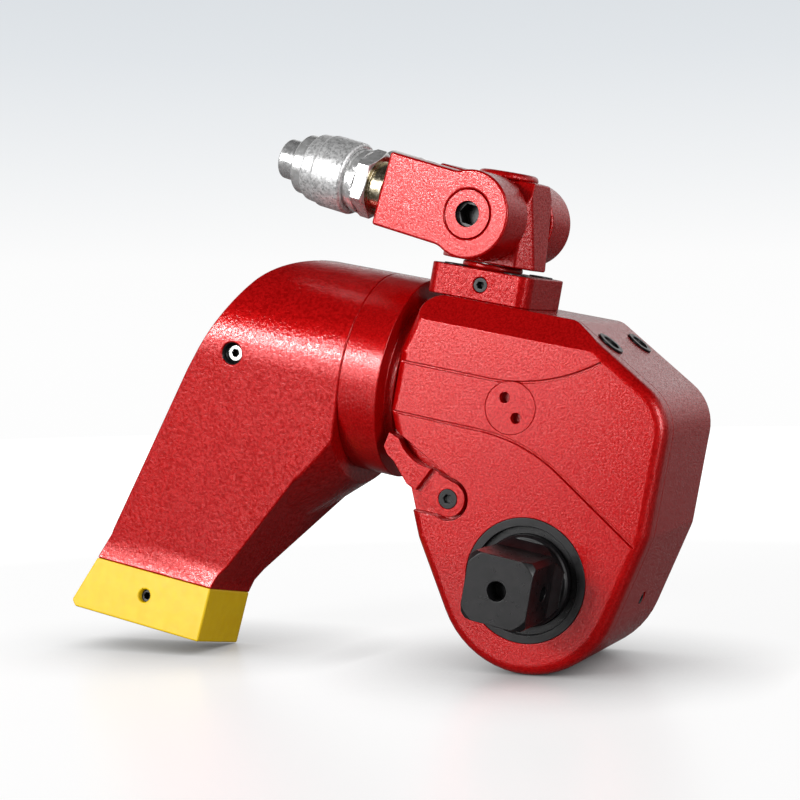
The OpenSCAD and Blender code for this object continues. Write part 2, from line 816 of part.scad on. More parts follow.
module reaction_boot() {
    fit = 0.1;
    color(yellow) arm_frame() difference() {
        extrude_y(-boot_d / 2, boot_d / 2)
            polygon([[-boot_left, leg_z], [-boot_right, leg_z], [-boot_right, -arm_reach],
                     [3 - boot_left - boot_flare, -arm_reach],
                     [0.9 - boot_left - boot_flare, 2.4 - arm_reach]]);
        translate([-boot_left + tongue_in - fit, -tongue_d / 2 - fit, leg_z - tongue_h - fit])
            cube([boot_w - 2 * tongue_in + 2 * fit, tongue_d + 2 * fit, tongue_h + fit + over]);
        translate([boot_screw_x, 0, boot_screw_z]) along_y(-boot_d / 2 - over, 0, boot_screw_r + seat_fit);
    }
}
module boot_screw() {
    y0 = boot_screw_sunk - boot_d / 2;
    color(black) arm_frame() translate([boot_screw_x, 0, boot_screw_z]) difference() {
        along_y(y0, tongue_d / 2 - 5, boot_screw_r);
        translate([0, y0 + 3, 0]) rotate([90, 0, 0]) cylinder(h = 5, r = 1.5, $fn = 6);
    }
}

module piston() {
    color(steel) cylinder_frame() difference() {
        along_x(piston_x0, rod_x0, bore_r - run_fit);
        along_x(piston_x0 - over, rod_x0 + over, rod_r - 3);
        translate([piston_x0 + piston_len / 2 - 2, 0, 0]) rotate([0, 90, 0])
            ring(bore_r - 3, bore_r + over, 4);
    }
}
module piston_seal() {
    color(rubber) cylinder_frame() translate([piston_x0 + piston_len / 2 - 1.9, 0, 0]) rotate([0, 90, 0])
        ring(bore_r - 2.95, bore_r - run_fit, 3.8);
}
module piston_nut() {
    color(steel) cylinder_frame() difference() {
        translate([nut_x0, 0, 0]) rotate([0, 90, 0]) cylinder(h = nut_len, r = rod_r + 1.5, $fn = 6);
        along_x(nut_x0 - over, piston_x0 + over, rod_r - 3);
    }
}
// The eye is a slot, which gives the pin's arc its small rise above the rod
module piston_rod() {
    eye_r = boss_r + 0.5;
    slot = pin_r + move_gap;
    color(steel) cylinder_frame() difference() {
        union() {
            along_x(nut_x0 + 0.5, rod_x0 + over, rod_r - 3 - seat_fit);
            along_x(rod_x0, -pin_back, rod_r);
            translate([-pin_back, 0, link_rise / 2]) along_y(-pawl_half, pawl_half, eye_r);
        }
        translate([-pin_back, 0, -0.1]) along_y(-half, half, slot);
        translate([-pin_back, 0, link_rise + 0.1]) along_y(-half, half, slot);
        translate([-pin_back - slot, -half, -0.1]) cube([2 * slot, body_w, link_rise + 0.2]);
    }
}
module drive_plate() {
    hull() {
        circle(plate_r, $fn = hull_fn);
        translate([-pin_back, axis_h]) circle(boss_r, $fn = hull_fn);
    }
}
module plate_holes() {
    along_y(-half, half, hub_r + run_fit);
    translate([-pin_back, 0, axis_h]) along_y(-half, half, pin_r + seat_fit);
    translate([pawl_at[0], 0, pawl_at[1]]) along_y(-half, half, pawl_pin_r + seat_fit);
}
module front_drive_plate() {
    color(steel) standing() difference() {
        extrude_y(-plate_out, -plate_in) drive_plate();
        plate_holes();
    }
}
module rear_drive_plate() {
    color(steel) standing() difference() {
        extrude_y(plate_in, plate_out) drive_plate();
        plate_holes();
    }
}
module rod_pin() {
    color(steel) standing() translate([-pin_back, 0, axis_h]) along_y(-plate_out, plate_out, pin_r);
}
module pawl_pin() {
    color(steel) standing() translate([pawl_at[0], 0, pawl_at[1]])
        along_y(-plate_out, plate_out, pawl_pin_r);
}
module pawl_spring() {
    color(steel) standing() translate([pawl_at[0], pawl_rear + 0.6, pawl_at[1]]) rotate([-90, 0, 0])
        coil(pawl_pin_r + 0.75, 0.5, 4, 1.3);
}
module drive_pawl() {
    tip = at_angle(nib_track, pawl_tip_angle);
    color(steel) standing() difference() {
        extrude_y(-pawl_half, pawl_rear) hull() {
            translate(pawl_at) circle(pawl_hub_r, $fn = hull_fn);
            translate(tip) circle(nib_r, $fn = hull_fn);
        }
        translate([pawl_at[0], 0, pawl_at[1]]) along_y(-half, half, pawl_pin_r + run_fit);
    }
}

function drive_spline_points(gap, grow) =
    spline_points(drive_spline_n, drive_spline_r - drive_spline_d + gap, drive_spline_r + gap, grow);
// The square's flare into its collar, on all four sides
module square_root() {
    y = -half - collar_out + over;
    low = square / 2;
    high = low + root_flare;
    flare = [[-low, y - root_len - over], [low, y - root_len - over], [high, y - over], [high, y],
             [-high, y], [-high, y - over]];
    intersection() {
        translate([0, 0, -2 * low]) linear_extrude(4 * low) polygon(flare);
        rotate([0, 90, 0]) translate([0, 0, -2 * low]) linear_extrude(4 * low) polygon(flare);
    }
}
module square_drive() {
    tip = -half - square_len;
    color(black) standing() difference() {
        union() {
            intersection() {
                union() {
                    translate([-square / 2, tip, -square / 2]) cube([square, square_len + over, square]);
                    square_root();
                }
                translate([0, tip, 0]) rotate([-90, 0, 0]) rotate_extrude()
                    polygon([[0, 0], [corner_cut_r - tip_cut, 0], [corner_cut_r, tip_cut],
                             [corner_cut_r, square_len + over], [0, square_len + over]]);
            }
            translate([0, -half - collar_out, 0]) rotate([-90, 0, 0]) rotate_extrude()
                polygon([[0, 0], [journal_r - 1, 0], [journal_r, 1], [journal_r, journal_len],
                         [0, journal_len]]);
            translate([0, plate_out, 0]) rotate([90, 0, 0]) linear_extrude(plate_out - journal_back + over)
                polygon(drive_spline_points(0, 0));
            along_y(plate_out - over, shaft_end, tail_r);
        }
        along_y(tip - over, tip + 9, tip_hole_r);
        translate([0, (tip - half) / 2, 0]) along_x(-square, square, pin_hole_r);
        along_y(shaft_end - 18, shaft_end + over, cap_spigot_r + seat_fit);
    }
}
module ratchet_wheel() {
    color(steel) standing() difference() {
        union() {
            extrude_y(-wheel_half, wheel_half)
                polygon(ratchet_points(ratchet_n, ratchet_r - tooth_d, ratchet_r));
            along_y(-plate_out, plate_out, hub_r);
        }
        translate([0, plate_out + over, 0]) rotate([90, 0, 0]) linear_extrude(2 * plate_out + 2 * over)
            polygon(drive_spline_points(0.1, 0.02));
    }
}
module drive_retainer_cap() {
    y0 = half + cap_gap;
    color(black) standing() difference() {
        union() {
            along_y(y0, y0 + cap_disc_t, cap_disc_r);
            along_y(shaft_end - 9, y0 + over, cap_spigot_r);
        }
        along_y(0, half + 10, button_r + run_fit);
        along_y(0, y0 - 2, button_flange_r + move_gap);
    }
}
module retainer_button() {
    y0 = half + cap_gap;
    color(steel) standing() {
        along_y(y0 - 6, y0 + cap_disc_t + button_travel, button_r);
        along_y(y0 - 6, y0 - 2 - move_gap, button_flange_r);
    }
}
module button_spring() {
    base = shaft_end - 18;
    top = half + cap_gap - 6 - button_travel - 0.2;
    turns = 5;
    wire = 0.5;
    color(steel) standing() translate([0, base, 0]) rotate([-90, 0, 0])
        coil(button_r, wire, turns, (top - base - 2 * wire) / turns);
}

module lever_outline() {
    difference() {
        union() {
            circle(lever_r);
            polygon([[3.1, 6.1], [-10.4, 10.2], [-24.1, 18.6], [-28.6, 20.2], [-29.9, 14.4], [-28, 11.6],
                     [-24.9, 9.7], [-17.9, 2.1], [-12.5, -0.2], [-4.4, -5.2]]);
        }
        translate([-9.1, 27.4]) circle(17.4);
    }
}
module release_lever() {
    color(red) standing() translate([-lever_back, 0, lever_up]) difference() {
        extrude_y(lever_y0, lever_y1) lever_outline();
        along_y(-half - over, lever_y0 + lever_head_h, lever_head_r + seat_fit);
        along_y(-half - over, 0, lever_screw_r + seat_fit);
        translate([-12.3, lever_y0 - over, 0]) rotate([0, 28, 0])
            translate([-1.5, 0, -over]) cube([3, over + 2.4, 14]);
    }
}
module lever_screw() {
    color(black) standing() translate([-lever_back, lever_y0, lever_up]) rotate([90, 0, 0])
        socket_screw(lever_screw_r, lever_screw_len, lever_head_r, lever_head_h, 1.8);
}
module lever_shaft() {
    color(steel) standing() translate([-lever_back, 0, lever_up]) difference() {
        along_y(lever_y1, chamber + 5.5, shaft_r);
        along_y(lever_y1 - over, lever_y0 + lever_head_h + lever_screw_len + 0.4, lever_screw_r + seat_fit);
    }
}
module holding_pawl() {
    tip = at_angle(nib_track, hold_angle);
    color(steel) standing() difference() {
        extrude_y(-pawl_half, pawl_half) hull() {
            translate([-lever_back, lever_up]) circle(hold_hub_r, $fn = hull_fn);
            translate(tip) circle(nib_r, $fn = hull_fn);
        }
        translate([-lever_back, 0, lever_up]) along_y(-half, half, shaft_r + seat_fit);
    }
}
module lever_spring() {
    color(steel) standing() translate([-lever_back, pawl_half + 0.1, lever_up]) rotate([-90, 0, 0])
        coil(shaft_r + 0.75, 0.5, 5, 1.4);
}

module swivel_block() {
    top_cut = 9;
    top_in = 4;
    edge = 6;
    w = block_w / 2;
    top_w = block_top_w / 2;
    d = block_d / 2;
    color(red) swivel_frame() difference() {
        intersection() {
            translate([0, 0, block_z0]) linear_extrude(block_z1 - block_z0)
                polygon([[-w, edge - d], [edge - w, -d], [w - edge, -d], [w, edge - d],
                         [w, d - edge], [w - edge, d], [edge - w, d], [-w, d - edge]]);
            extrude_x(-block_w, block_w)
                polygon([[-d, block_z0], [d, block_z0], [d, block_z1 - top_cut], [d - top_in, block_z1],
                         [top_in - d, block_z1], [-d, block_z1 - top_cut]]);
            extrude_y(-block_d, block_d)
                polygon([[-w, block_z0], [w, block_z0], [top_w, block_z1], [-top_w, block_z1]]);
        }
        translate([0, 0, block_z0 - over]) cylinder(h = 60, r = post_r + run_fit);
        translate([0, 0, clip_z - 0.3]) cylinder(h = 40, r = clip_pocket_r);
        translate([0, 0, pivot_z])
            for (turn = [0, 180])
                rotate([0, 0, turn]) along_y(post_r, d + over, bolt_thread_r + seat_fit);
    }
}
module swivel_cap() {
    cap_r = 12;
    color(red) swivel_frame() {
        translate([0, 0, block_z1]) rotate_extrude()
            polygon([[0, 0], [cap_r, 0], [cap_r, 1.6], [cap_r - 1.2, 2.8], [0, 2.8]]);
        translate([0, 0, post_end + 0.3]) cylinder(h = block_z1 - post_end, r = clip_pocket_r - seat_fit);
    }
}
module post_retaining_ring() {
    color(steel) standing() translate([-post_back, 0, clip_z + 0.1]) ring(post_r - 0.95, post_r + 1.8, 1.2);
}
// Bolt head flush in the arm's face, plain shank as the arm's bearing, thread in the block
module pivot_bolt() {
    color(red) difference() {
        union() {
            along_y(-arm_front, -arm_front + cap_t - 0.1, pivot_cap_r);
            along_y(-arm_front, -block_d / 2, bolt_r);
            along_y(-arm_front, -post_r - 0.4, bolt_thread_r);
        }
        along_y(-arm_front - over, -arm_front + 2.2, 4.9);
        translate([0, -arm_front + 8, 0]) rotate([90, 0, 0]) cylinder(h = 8, r = 4.2, $fn = 6);
    }
}
module front_pivot_bolt() {
    hose_frame(-1) pivot_bolt();
}
module rear_pivot_bolt() {
    hose_frame(1) pivot_bolt();
}
module hose_arm() {
    fillet = 9;
    color(red) difference() {
        extrude_y(-arm_front, -arm_back) offset(r = -fillet) offset(delta = fillet) {
            circle(hose_arm_r, $fn = 96);
            translate([-hose_arm_len, -hose_arm_h / 2]) square([hose_arm_len, hose_arm_h]);
        }
        along_y(-arm_front - over, 0, bolt_r + run_fit);
        along_y(-arm_front - over, -arm_front + cap_t, pivot_cap_r + 0.15);
        translate([0, -coupler_y, 0]) along_x(-hose_arm_len - over, -hose_arm_len + port_len, port_r);
    }
}
module front_hose_arm() {
    hose_frame(-1) hose_arm();
}
module rear_hose_arm() {
    hose_frame(1) hose_arm();
}
// Hexagon with turned corners at both ends
module coupler_hex() {
    cut = 1.1;
    intersection() {
        translate([0, 0, neck_z]) cylinder(h = hex_z - neck_z, r = hex_r, $fn = 6);
        translate([0, 0, neck_z]) rotate_extrude()
            polygon([[0, 0], [hex_r - 2 * cut, 0], [hex_r, cut], [hex_r, hex_z - neck_z - cut],
                     [hex_r - 2 * cut, hex_z - neck_z], [0, hex_z - neck_z]]);
    }
}
module front_coupler() {
    edge = 0.7;
    color(steel) hose_end(-1) difference() {
        union() {
            translate([0, 0, 0.2 - port_len]) cylinder(h = port_len, r = port_r - seat_fit);
            cylinder(h = neck_z + over, r = neck_r);
            coupler_hex();
            translate([0, 0, hex_z - over]) cylinder(h = lip_z - hex_z + over, r = lip_r);
            rotate_extrude()
                polygon([[0, lip_z - over], [tube_r, lip_z - over], [tube_r, collar_z - edge],
                         [tube_r - edge, collar_z], [hose_nose_r, collar_z],
                         [hose_nose_r, nose_z - edge], [hose_nose_r - edge, nose_z], [0, nose_z]]);
        }
        translate([0, 0, nose_z - 20]) cylinder(h = 20 + over, r = oil_r);
    }
}
module coupler_sleeve() {
    edge = 0.8;
    step = 13.2;
    front_r = sleeve_r - 0.6;
    tip_r = front_r - 0.4;
    color(steel) hose_end(-1) difference() {
        translate([0, 0, sleeve_z0]) rotate_extrude()
            polygon([[0, 0], [sleeve_r - edge, 0], [sleeve_r, edge], [sleeve_r, step],
                     [front_r, step + edge], [tip_r, sleeve_len - edge],
                     [tip_r - edge, sleeve_len], [0, sleeve_len]]);
        translate([0, 0, sleeve_z0 - over]) cylinder(h = sleeve_len + 2 * over, r = tube_r + run_fit);
    }
}
module rear_nipple() {
    nipple_r = sleeve_r - 0.5;
    groove_r = nipple_r - 3;
    stem_r = hose_nose_r + 0.5;
    color(steel) hose_end(1) difference() {
        union() {
            translate([0, 0, 0.2 - port_len]) cylinder(h = port_len, r = port_r - seat_fit);
            cylinder(h = neck_z + over, r = neck_r);
            coupler_hex();
            translate([0, 0, hex_z - over]) rotate_extrude()
                polygon([[0, 0], [groove_r, 0], [groove_r, 1.5], [nipple_r - 1, 1.5], [nipple_r, 2.5],
                         [nipple_r, 15.5], [nipple_r - 1.5, 17], [stem_r, 17], [stem_r, 24],
                         [stem_r - 1.2, 25.5], [0, 25.5]]);
        }
        translate([0, 0, hex_z + 10]) cylinder(h = 30, r = 3.6);
    }
}

main_housing();
side_cover();
cover_screws();
pin_access_plug();
front_drive_bush();
rear_drive_bush();
cylinder_end_cap();
end_cap_seal();
rod_gland();
rod_seal();
handle_hole_plugs();
nose_set_screw();
swivel_base();
swivel_base_screws();
swivel_base_set_screw();
swivel_post();
post_seals();
thrust_washer();
reaction_arm();
reaction_boot();
boot_screw();
arm_lock_screw();
piston();
piston_seal();
piston_rod();
piston_nut();
front_drive_plate();
rear_drive_plate();
rod_pin();
pawl_pin();
pawl_spring();
drive_pawl();
square_drive();
ratchet_wheel();
drive_retainer_cap();
retainer_button();
button_spring();
release_lever();
lever_screw();
lever_shaft();
holding_pawl();
lever_spring();
swivel_block();
swivel_cap();
post_retaining_ring();
front_pivot_bolt();
rear_pivot_bolt();
front_hose_arm();
rear_hose_arm();
front_coupler();
coupler_sleeve();
rear_nipple();
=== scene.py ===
"""Looks of a hydraulic torque wrench: finishes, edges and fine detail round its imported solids."""

import json
import logging
import math
from collections.abc import Sequence
from dataclasses import dataclass
from enum import Enum
from typing import Any, Protocol

import bpy
from mathutils import Matrix, Vector

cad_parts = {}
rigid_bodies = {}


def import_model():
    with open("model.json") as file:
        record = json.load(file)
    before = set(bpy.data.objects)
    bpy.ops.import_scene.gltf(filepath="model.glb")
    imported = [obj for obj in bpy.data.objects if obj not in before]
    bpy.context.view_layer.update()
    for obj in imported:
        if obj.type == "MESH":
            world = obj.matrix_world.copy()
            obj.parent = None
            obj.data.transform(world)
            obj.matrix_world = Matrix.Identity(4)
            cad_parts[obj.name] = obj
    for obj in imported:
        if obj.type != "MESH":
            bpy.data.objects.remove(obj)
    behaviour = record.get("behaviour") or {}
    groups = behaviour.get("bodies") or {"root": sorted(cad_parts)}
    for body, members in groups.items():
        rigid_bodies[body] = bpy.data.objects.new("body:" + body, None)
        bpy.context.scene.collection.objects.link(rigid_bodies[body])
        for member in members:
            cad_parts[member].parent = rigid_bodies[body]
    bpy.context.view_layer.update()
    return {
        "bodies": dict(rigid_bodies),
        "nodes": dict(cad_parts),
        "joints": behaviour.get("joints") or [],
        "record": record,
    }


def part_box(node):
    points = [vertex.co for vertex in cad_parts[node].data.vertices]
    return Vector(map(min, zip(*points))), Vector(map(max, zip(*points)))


LOG = logging.getLogger("torque_wrench")
MM = 0.001
NOISE_LOW = 0.3
NOISE_HIGH = 0.7

Colour = tuple[float, float, float]
Socket = bpy.types.NodeSocket
Stops = Sequence[tuple[float, Colour]]


def opaque(colour: Colour) -> tuple[float, float, float, float]:
    """Return a colour with full alpha."""
    return (*colour, 1.0)


def grey(level: float) -> Colour:
    """Return a neutral colour of one level."""
    return (level, level, level)


def greys(*stops: tuple[float, float]) -> Stops:
    """Return neutral colour stops.

    Args:
        stops: Places and levels.

    Returns:
        The places with their colours.
    """
    return tuple((place, grey(level)) for place, level in stops)


class Nodes:
    """A node tree, with short calls for the nodes that finishes and surroundings share."""

    def __init__(self, tree: bpy.types.NodeTree) -> None:
        """Empty a tree and keep it.

        Args:
            tree: The tree.
        """
        self.tree = tree
        tree.nodes.clear()

    def add(self, kind: str, **settings: Any) -> bpy.types.Node:
        """Add a node.

        Args:
            kind: The node's Blender type.
            settings: Properties to set on it.

        Returns:
            The new node.
        """
        node = self.tree.nodes.new(kind)
        for key, value in settings.items():
            setattr(node, key, value)
        return node

    def link(self, source: Socket, target: Socket) -> None:
        """Join an output to an input."""
        self.tree.links.new(source, target)

    def ramp(self, value: Socket, stops: Stops) -> Socket:
        """Turn a value into a colour.

        Args:
            value: The driving value, 0 to 1.
            stops: Places and colours along it.

        Returns:
            The colour.
        """
        node = self.add("ShaderNodeValToRGB")
        band = node.color_ramp.elements
        while len(band) < len(stops):
            band.new(1.0)
        for element, (place, colour) in zip(band, stops):
            element.position = place
            element.color = opaque(colour)
        self.link(value, node.inputs["Fac"])
        return node.outputs["Color"]

    def spread(self, value: Socket, start: float, end: float, low: float, high: float) -> Socket:
        """Map part of a value's range to another range.

        Args:
            value: The value.
            start: Where the range starts.
            end: Where it ends.
            low: Result at the start.
            high: Result at the end.

        Returns:
            The mapped value.
        """
        node = self.add("ShaderNodeMapRange")
        for name, level in (("From Min", start), ("From Max", end), ("To Min", low), ("To Max", high)):
            node.inputs[name].default_value = level
        self.link(value, node.inputs["Value"])
        return node.outputs["Result"]

    def mix(self, share: Socket, low: Socket, high: Socket) -> Socket:
        """Mix two colours.

        Args:
            share: Share of the second colour.
            low: The first colour.
            high: The second colour.

        Returns:
            The mixed colour.
        """
        node = self.add("ShaderNodeMix", data_type="RGBA")
        self.link(share, node.inputs["Factor"])
        colours = [socket for socket in node.inputs if socket.type == "RGBA"]
        self.link(low, colours[0])
        self.link(high, colours[1])
        return next(socket for socket in node.outputs if socket.type == "RGBA")


class Shader(Nodes):
    """A material with one principled surface."""

    def __init__(self, name: str) -> None:
        """Start the material.

        Args:
            name: The material's name.
        """
        self.material = bpy.data.materials.new(name)
        self.material.use_nodes = True
        super().__init__(self.material.node_tree)
        self.output = self.add("ShaderNodeOutputMaterial")
        self.surface = self.add("ShaderNodeBsdfPrincipled")
        self.link(self.surface.outputs["BSDF"], self.output.inputs["Surface"])
        self.place = self.add("ShaderNodeTexCoord").outputs["Object"]

    def constant(self, **values: Any) -> None:
        """Set sockets of the surface, named with underscores for spaces."""
        for key, value in values.items():
            self.surface.inputs[key.replace("_", " ")].default_value = value

    def feed(self, **sockets: Socket) -> None:
        """Link outputs to the surface's sockets, named with underscores for spaces."""
        for key, socket in sockets.items():
            self.link(socket, self.surface.inputs[key.replace("_", " ")])

    def noise(self, size: float, detail: float = 2.0, rough: float = 0.5, twist: float = 0.0) -> Socket:
        """Add a noise in the piece's own space.

        Args:
            size: Size of one blotch, in metres.
            detail: Octaves of finer noise.
            rough: Strength of the finer octaves.
            twist: How much the blotches are drawn into waves.

        Returns:
            The noise's value.
        """
        node = self.add("ShaderNodeTexNoise")
        node.inputs["Scale"].default_value = 1.0 / size
        node.inputs["Detail"].default_value = detail
        node.inputs["Roughness"].default_value = rough
        node.inputs["Distortion"].default_value = twist
        self.link(self.place, node.inputs["Vector"])
        return node.outputs["Fac"]

    def bump(self, height: Socket, depth: float, strength: float, under: Socket | None = None) -> Socket:
        """Add a bump.

        Args:
            height: Height, 0 to 1.
            depth: Real depth of that height, in metres.
            strength: How much of it shows.
            under: A bump that this one lies on.

        Returns:
            The bumped normal.
        """
        node = self.add("ShaderNodeBump")
        node.inputs["Distance"].default_value = depth
        node.inputs["Strength"].default_value = strength
        self.link(height, node.inputs["Height"])
        if under is not None:
            self.link(under, node.inputs["Normal"])
        return node.outputs["Normal"]


@dataclass(frozen=True)
class RedCoat:
    """Glossy red coat over a pebbled skin: deep red in the pits, paler on the knobs."""

    name: str
    pebble: float
    depth: float
    strength: float
    deep: Colour = (0.33, 0.0011, 0.0014)
    bright: Colour = (0.52, 0.0022, 0.0028)
    metal: float = 0.3
    coat_low: float = 0.35
    coat_high: float = 1.0
    rough_low: float = 0.1
    rough_high: float = 0.16
    under_rough: float = 0.4
    pit: float = 0.36
    knob: float = 0.62
    cloud: float = 3 * MM
    grit_share: float = 0.4
    grit_depth: float = 0.3

    def make(self) -> bpy.types.Material:
        """Return the finish as a material."""
        shader = Shader(self.name)
        knobs = shader.noise(self.pebble, 3.0, 0.55, 0.5)
        grit = shader.noise(self.pebble * self.grit_share, 2.0)
        shade = shader.ramp(knobs, [(self.pit, self.deep), (self.knob, self.bright)])
        skin = shader.bump(knobs, self.depth, self.strength)
        skin = shader.bump(grit, self.depth * self.grit_depth, self.strength, skin)
        clouds = shader.noise(self.cloud, 3.0)
        rough = shader.spread(clouds, NOISE_LOW, NOISE_HIGH, self.rough_low, self.rough_high)
        coat = shader.spread(knobs, self.pit, self.knob, self.coat_low, self.coat_high)
        shader.feed(Base_Color=shade, Normal=skin, Coat_Weight=coat, Coat_Roughness=rough, Coat_Normal=skin)
        shader.constant(Metallic=self.metal, Roughness=self.under_rough, Specular_IOR_Level=0.0)
        return shader.material


@dataclass(frozen=True)
class BareMetal:
    """Bare or plated metal, with stains and fine scratches."""

    name: str
    dark: Colour
    light: Colour
    rough_low: float
    rough_high: float
    blotch: float = 2.5 * MM
    scratch: float = 0.35 * MM
    depth: float = 0.02 * MM
    strength: float = 0.3
    metal: float = 1.0
    stained: float = 0.35
    clean: float = 0.6

    def make(self) -> bpy.types.Material:
        """Return the finish as a material."""
        shader = Shader(self.name)
        stain = shader.noise(self.blotch, 5.0, 0.6)
        shade = shader.ramp(stain, [(self.stained, self.dark), (self.clean, self.light)])
        patches = shader.noise(self.blotch / 2, 4.0)
        rough = shader.spread(patches, NOISE_LOW, NOISE_HIGH, self.rough_low, self.rough_high)
        skin = shader.bump(shader.noise(self.scratch, 3.0), self.depth, self.strength)
        shader.feed(Base_Color=shade, Roughness=rough, Normal=skin)
        shader.constant(Metallic=self.metal)
        return shader.material


@dataclass(frozen=True)
class Coating:
    """Black oxide, rubber or moulded plastic: a dielectric skin with a light grain."""

    name: str
    deep: Colour
    bright: Colour
    rough_low: float
    rough_high: float
    gloss: float = 0.5
    grain: float = 0.5 * MM
    depth: float = 0.02 * MM
    strength: float = 0.35
    cloud: float = 5 * MM
    patch: float = 2 * MM
    dull: float = 0.35
    fresh: float = 0.65

    def make(self) -> bpy.types.Material:
        """Return the finish as a material."""
        shader = Shader(self.name)
        clouds = shader.noise(self.cloud, 4.0)
        shade = shader.ramp(clouds, [(self.dull, self.deep), (self.fresh, self.bright)])
        patches = shader.noise(self.patch, 3.0)
        rough = shader.spread(patches, NOISE_LOW, NOISE_HIGH, self.rough_low, self.rough_high)
        skin = shader.bump(shader.noise(self.grain, 3.0), self.depth, self.strength)
        shader.feed(Base_Color=shade, Roughness=rough, Normal=skin)
        shader.constant(Specular_IOR_Level=self.gloss)
        return shader.material


class Finish(Enum):
    """Finishes of the wrench."""

    RED = RedCoat("red_coat", 0.8 * MM, 0.14 * MM, 0.6)
    CAST_RED = RedCoat("red_coat_on_casting", 1.3 * MM, 0.24 * MM, 0.6)
    # Painted shade: a darker, less glossy copy of the red coat, so the swivel base looks as if less light
    # reached it.
    SHADED_BASE_RED = RedCoat(
        "red_coat_shaded_on_base",
        pebble=0.9 * MM,
        depth=0.18 * MM,
        strength=0.6,
        deep=(0.27, 0.001, 0.0013),
        bright=(0.43, 0.002, 0.0026),
        coat_low=0.15,
        coat_high=0.6,
    )
    STEEL = BareMetal("bright_steel", grey(0.55), grey(0.78), 0.2, 0.3, metal=0.75)
    ZINC = BareMetal("bright_zinc", (0.62, 0.62, 0.61), (0.85, 0.85, 0.85), 0.16, 0.28, metal=0.7)
    WORN = BareMetal(
        "worn_zinc",
        dark=grey(0.45),
        light=grey(0.9),
        rough_low=0.24,
        rough_high=0.46,
        blotch=1.4 * MM,
        scratch=0.4 * MM,
        depth=0.1 * MM,
        strength=0.6,
        metal=0.6,
    )
    BRASS = BareMetal("stained_brass", (0.3, 0.25, 0.15), (0.66, 0.6, 0.45), 0.16, 0.3)
    BRONZE = BareMetal("turned_bronze", (0.4, 0.24, 0.08), (0.62, 0.42, 0.18), 0.24, 0.4)
    # Black oxide on the screws, bush and drive; the same black also paints shade into the pivot bolts' hex
    # holes and the arm's lock-screw recess.
    BLACK = Coating("black_oxide", (0.004, 0.004, 0.0045), (0.01, 0.009, 0.01), 0.26, 0.42, 0.36)
    RUBBER = Coating("seal_rubber", grey(0.012), grey(0.02), 0.6, 0.75)
    PLUG = BareMetal("plug_face", grey(0.1), grey(0.24), 0.35, 0.5)
    YELLOW = Coating("yellow_boot", (0.84, 0.55, 0.008), (0.88, 0.6, 0.01), 0.34, 0.46, 0.3)


@dataclass(frozen=True)
class Edge:
    """How a solid's sharp edges are broken."""

    width: float
    rows: int = 3
    angle: float = math.radians(28)


class Patch(Protocol):
    """A test that picks faces of a solid."""

    def holds(self, centre: Vector, normal: Vector) -> bool:
        """Tell whether a face is picked.

        Args:
            centre: The face's middle.
            normal: The way that it faces.

        Returns:
            True where the face is picked.
        """


@dataclass(frozen=True)
class NearAxis:
    """Faces that lie close to an axis."""

    point: Vector
    way: Vector
    radius: float

    def holds(self, centre: Vector, normal: Vector) -> bool:
        """Tell whether a face's middle is within the radius."""
        off = centre - self.point
        return (off - self.way * off.dot(self.way)).length < self.radius


@dataclass(frozen=True)
class Slice:
    """Faces between two places along an axis."""

    point: Vector
    way: Vector
    low: float
    high: float

    def holds(self, centre: Vector, normal: Vector) -> bool:
        """Tell whether a face's middle is in the slice."""
        return self.low <= (centre - self.point).dot(self.way) <= self.high


@dataclass(frozen=True)
class Facing:
    """Flat faces turned one way, between two heights that way."""

    way: Vector
    low: float
    high: float
    least: float = 0.97

    def holds(self, centre: Vector, normal: Vector) -> bool:
        """Tell whether a face is turned that way and lies between the heights."""
        return normal.dot(self.way) > self.least and self.low <= centre.dot(self.way) <= self.high


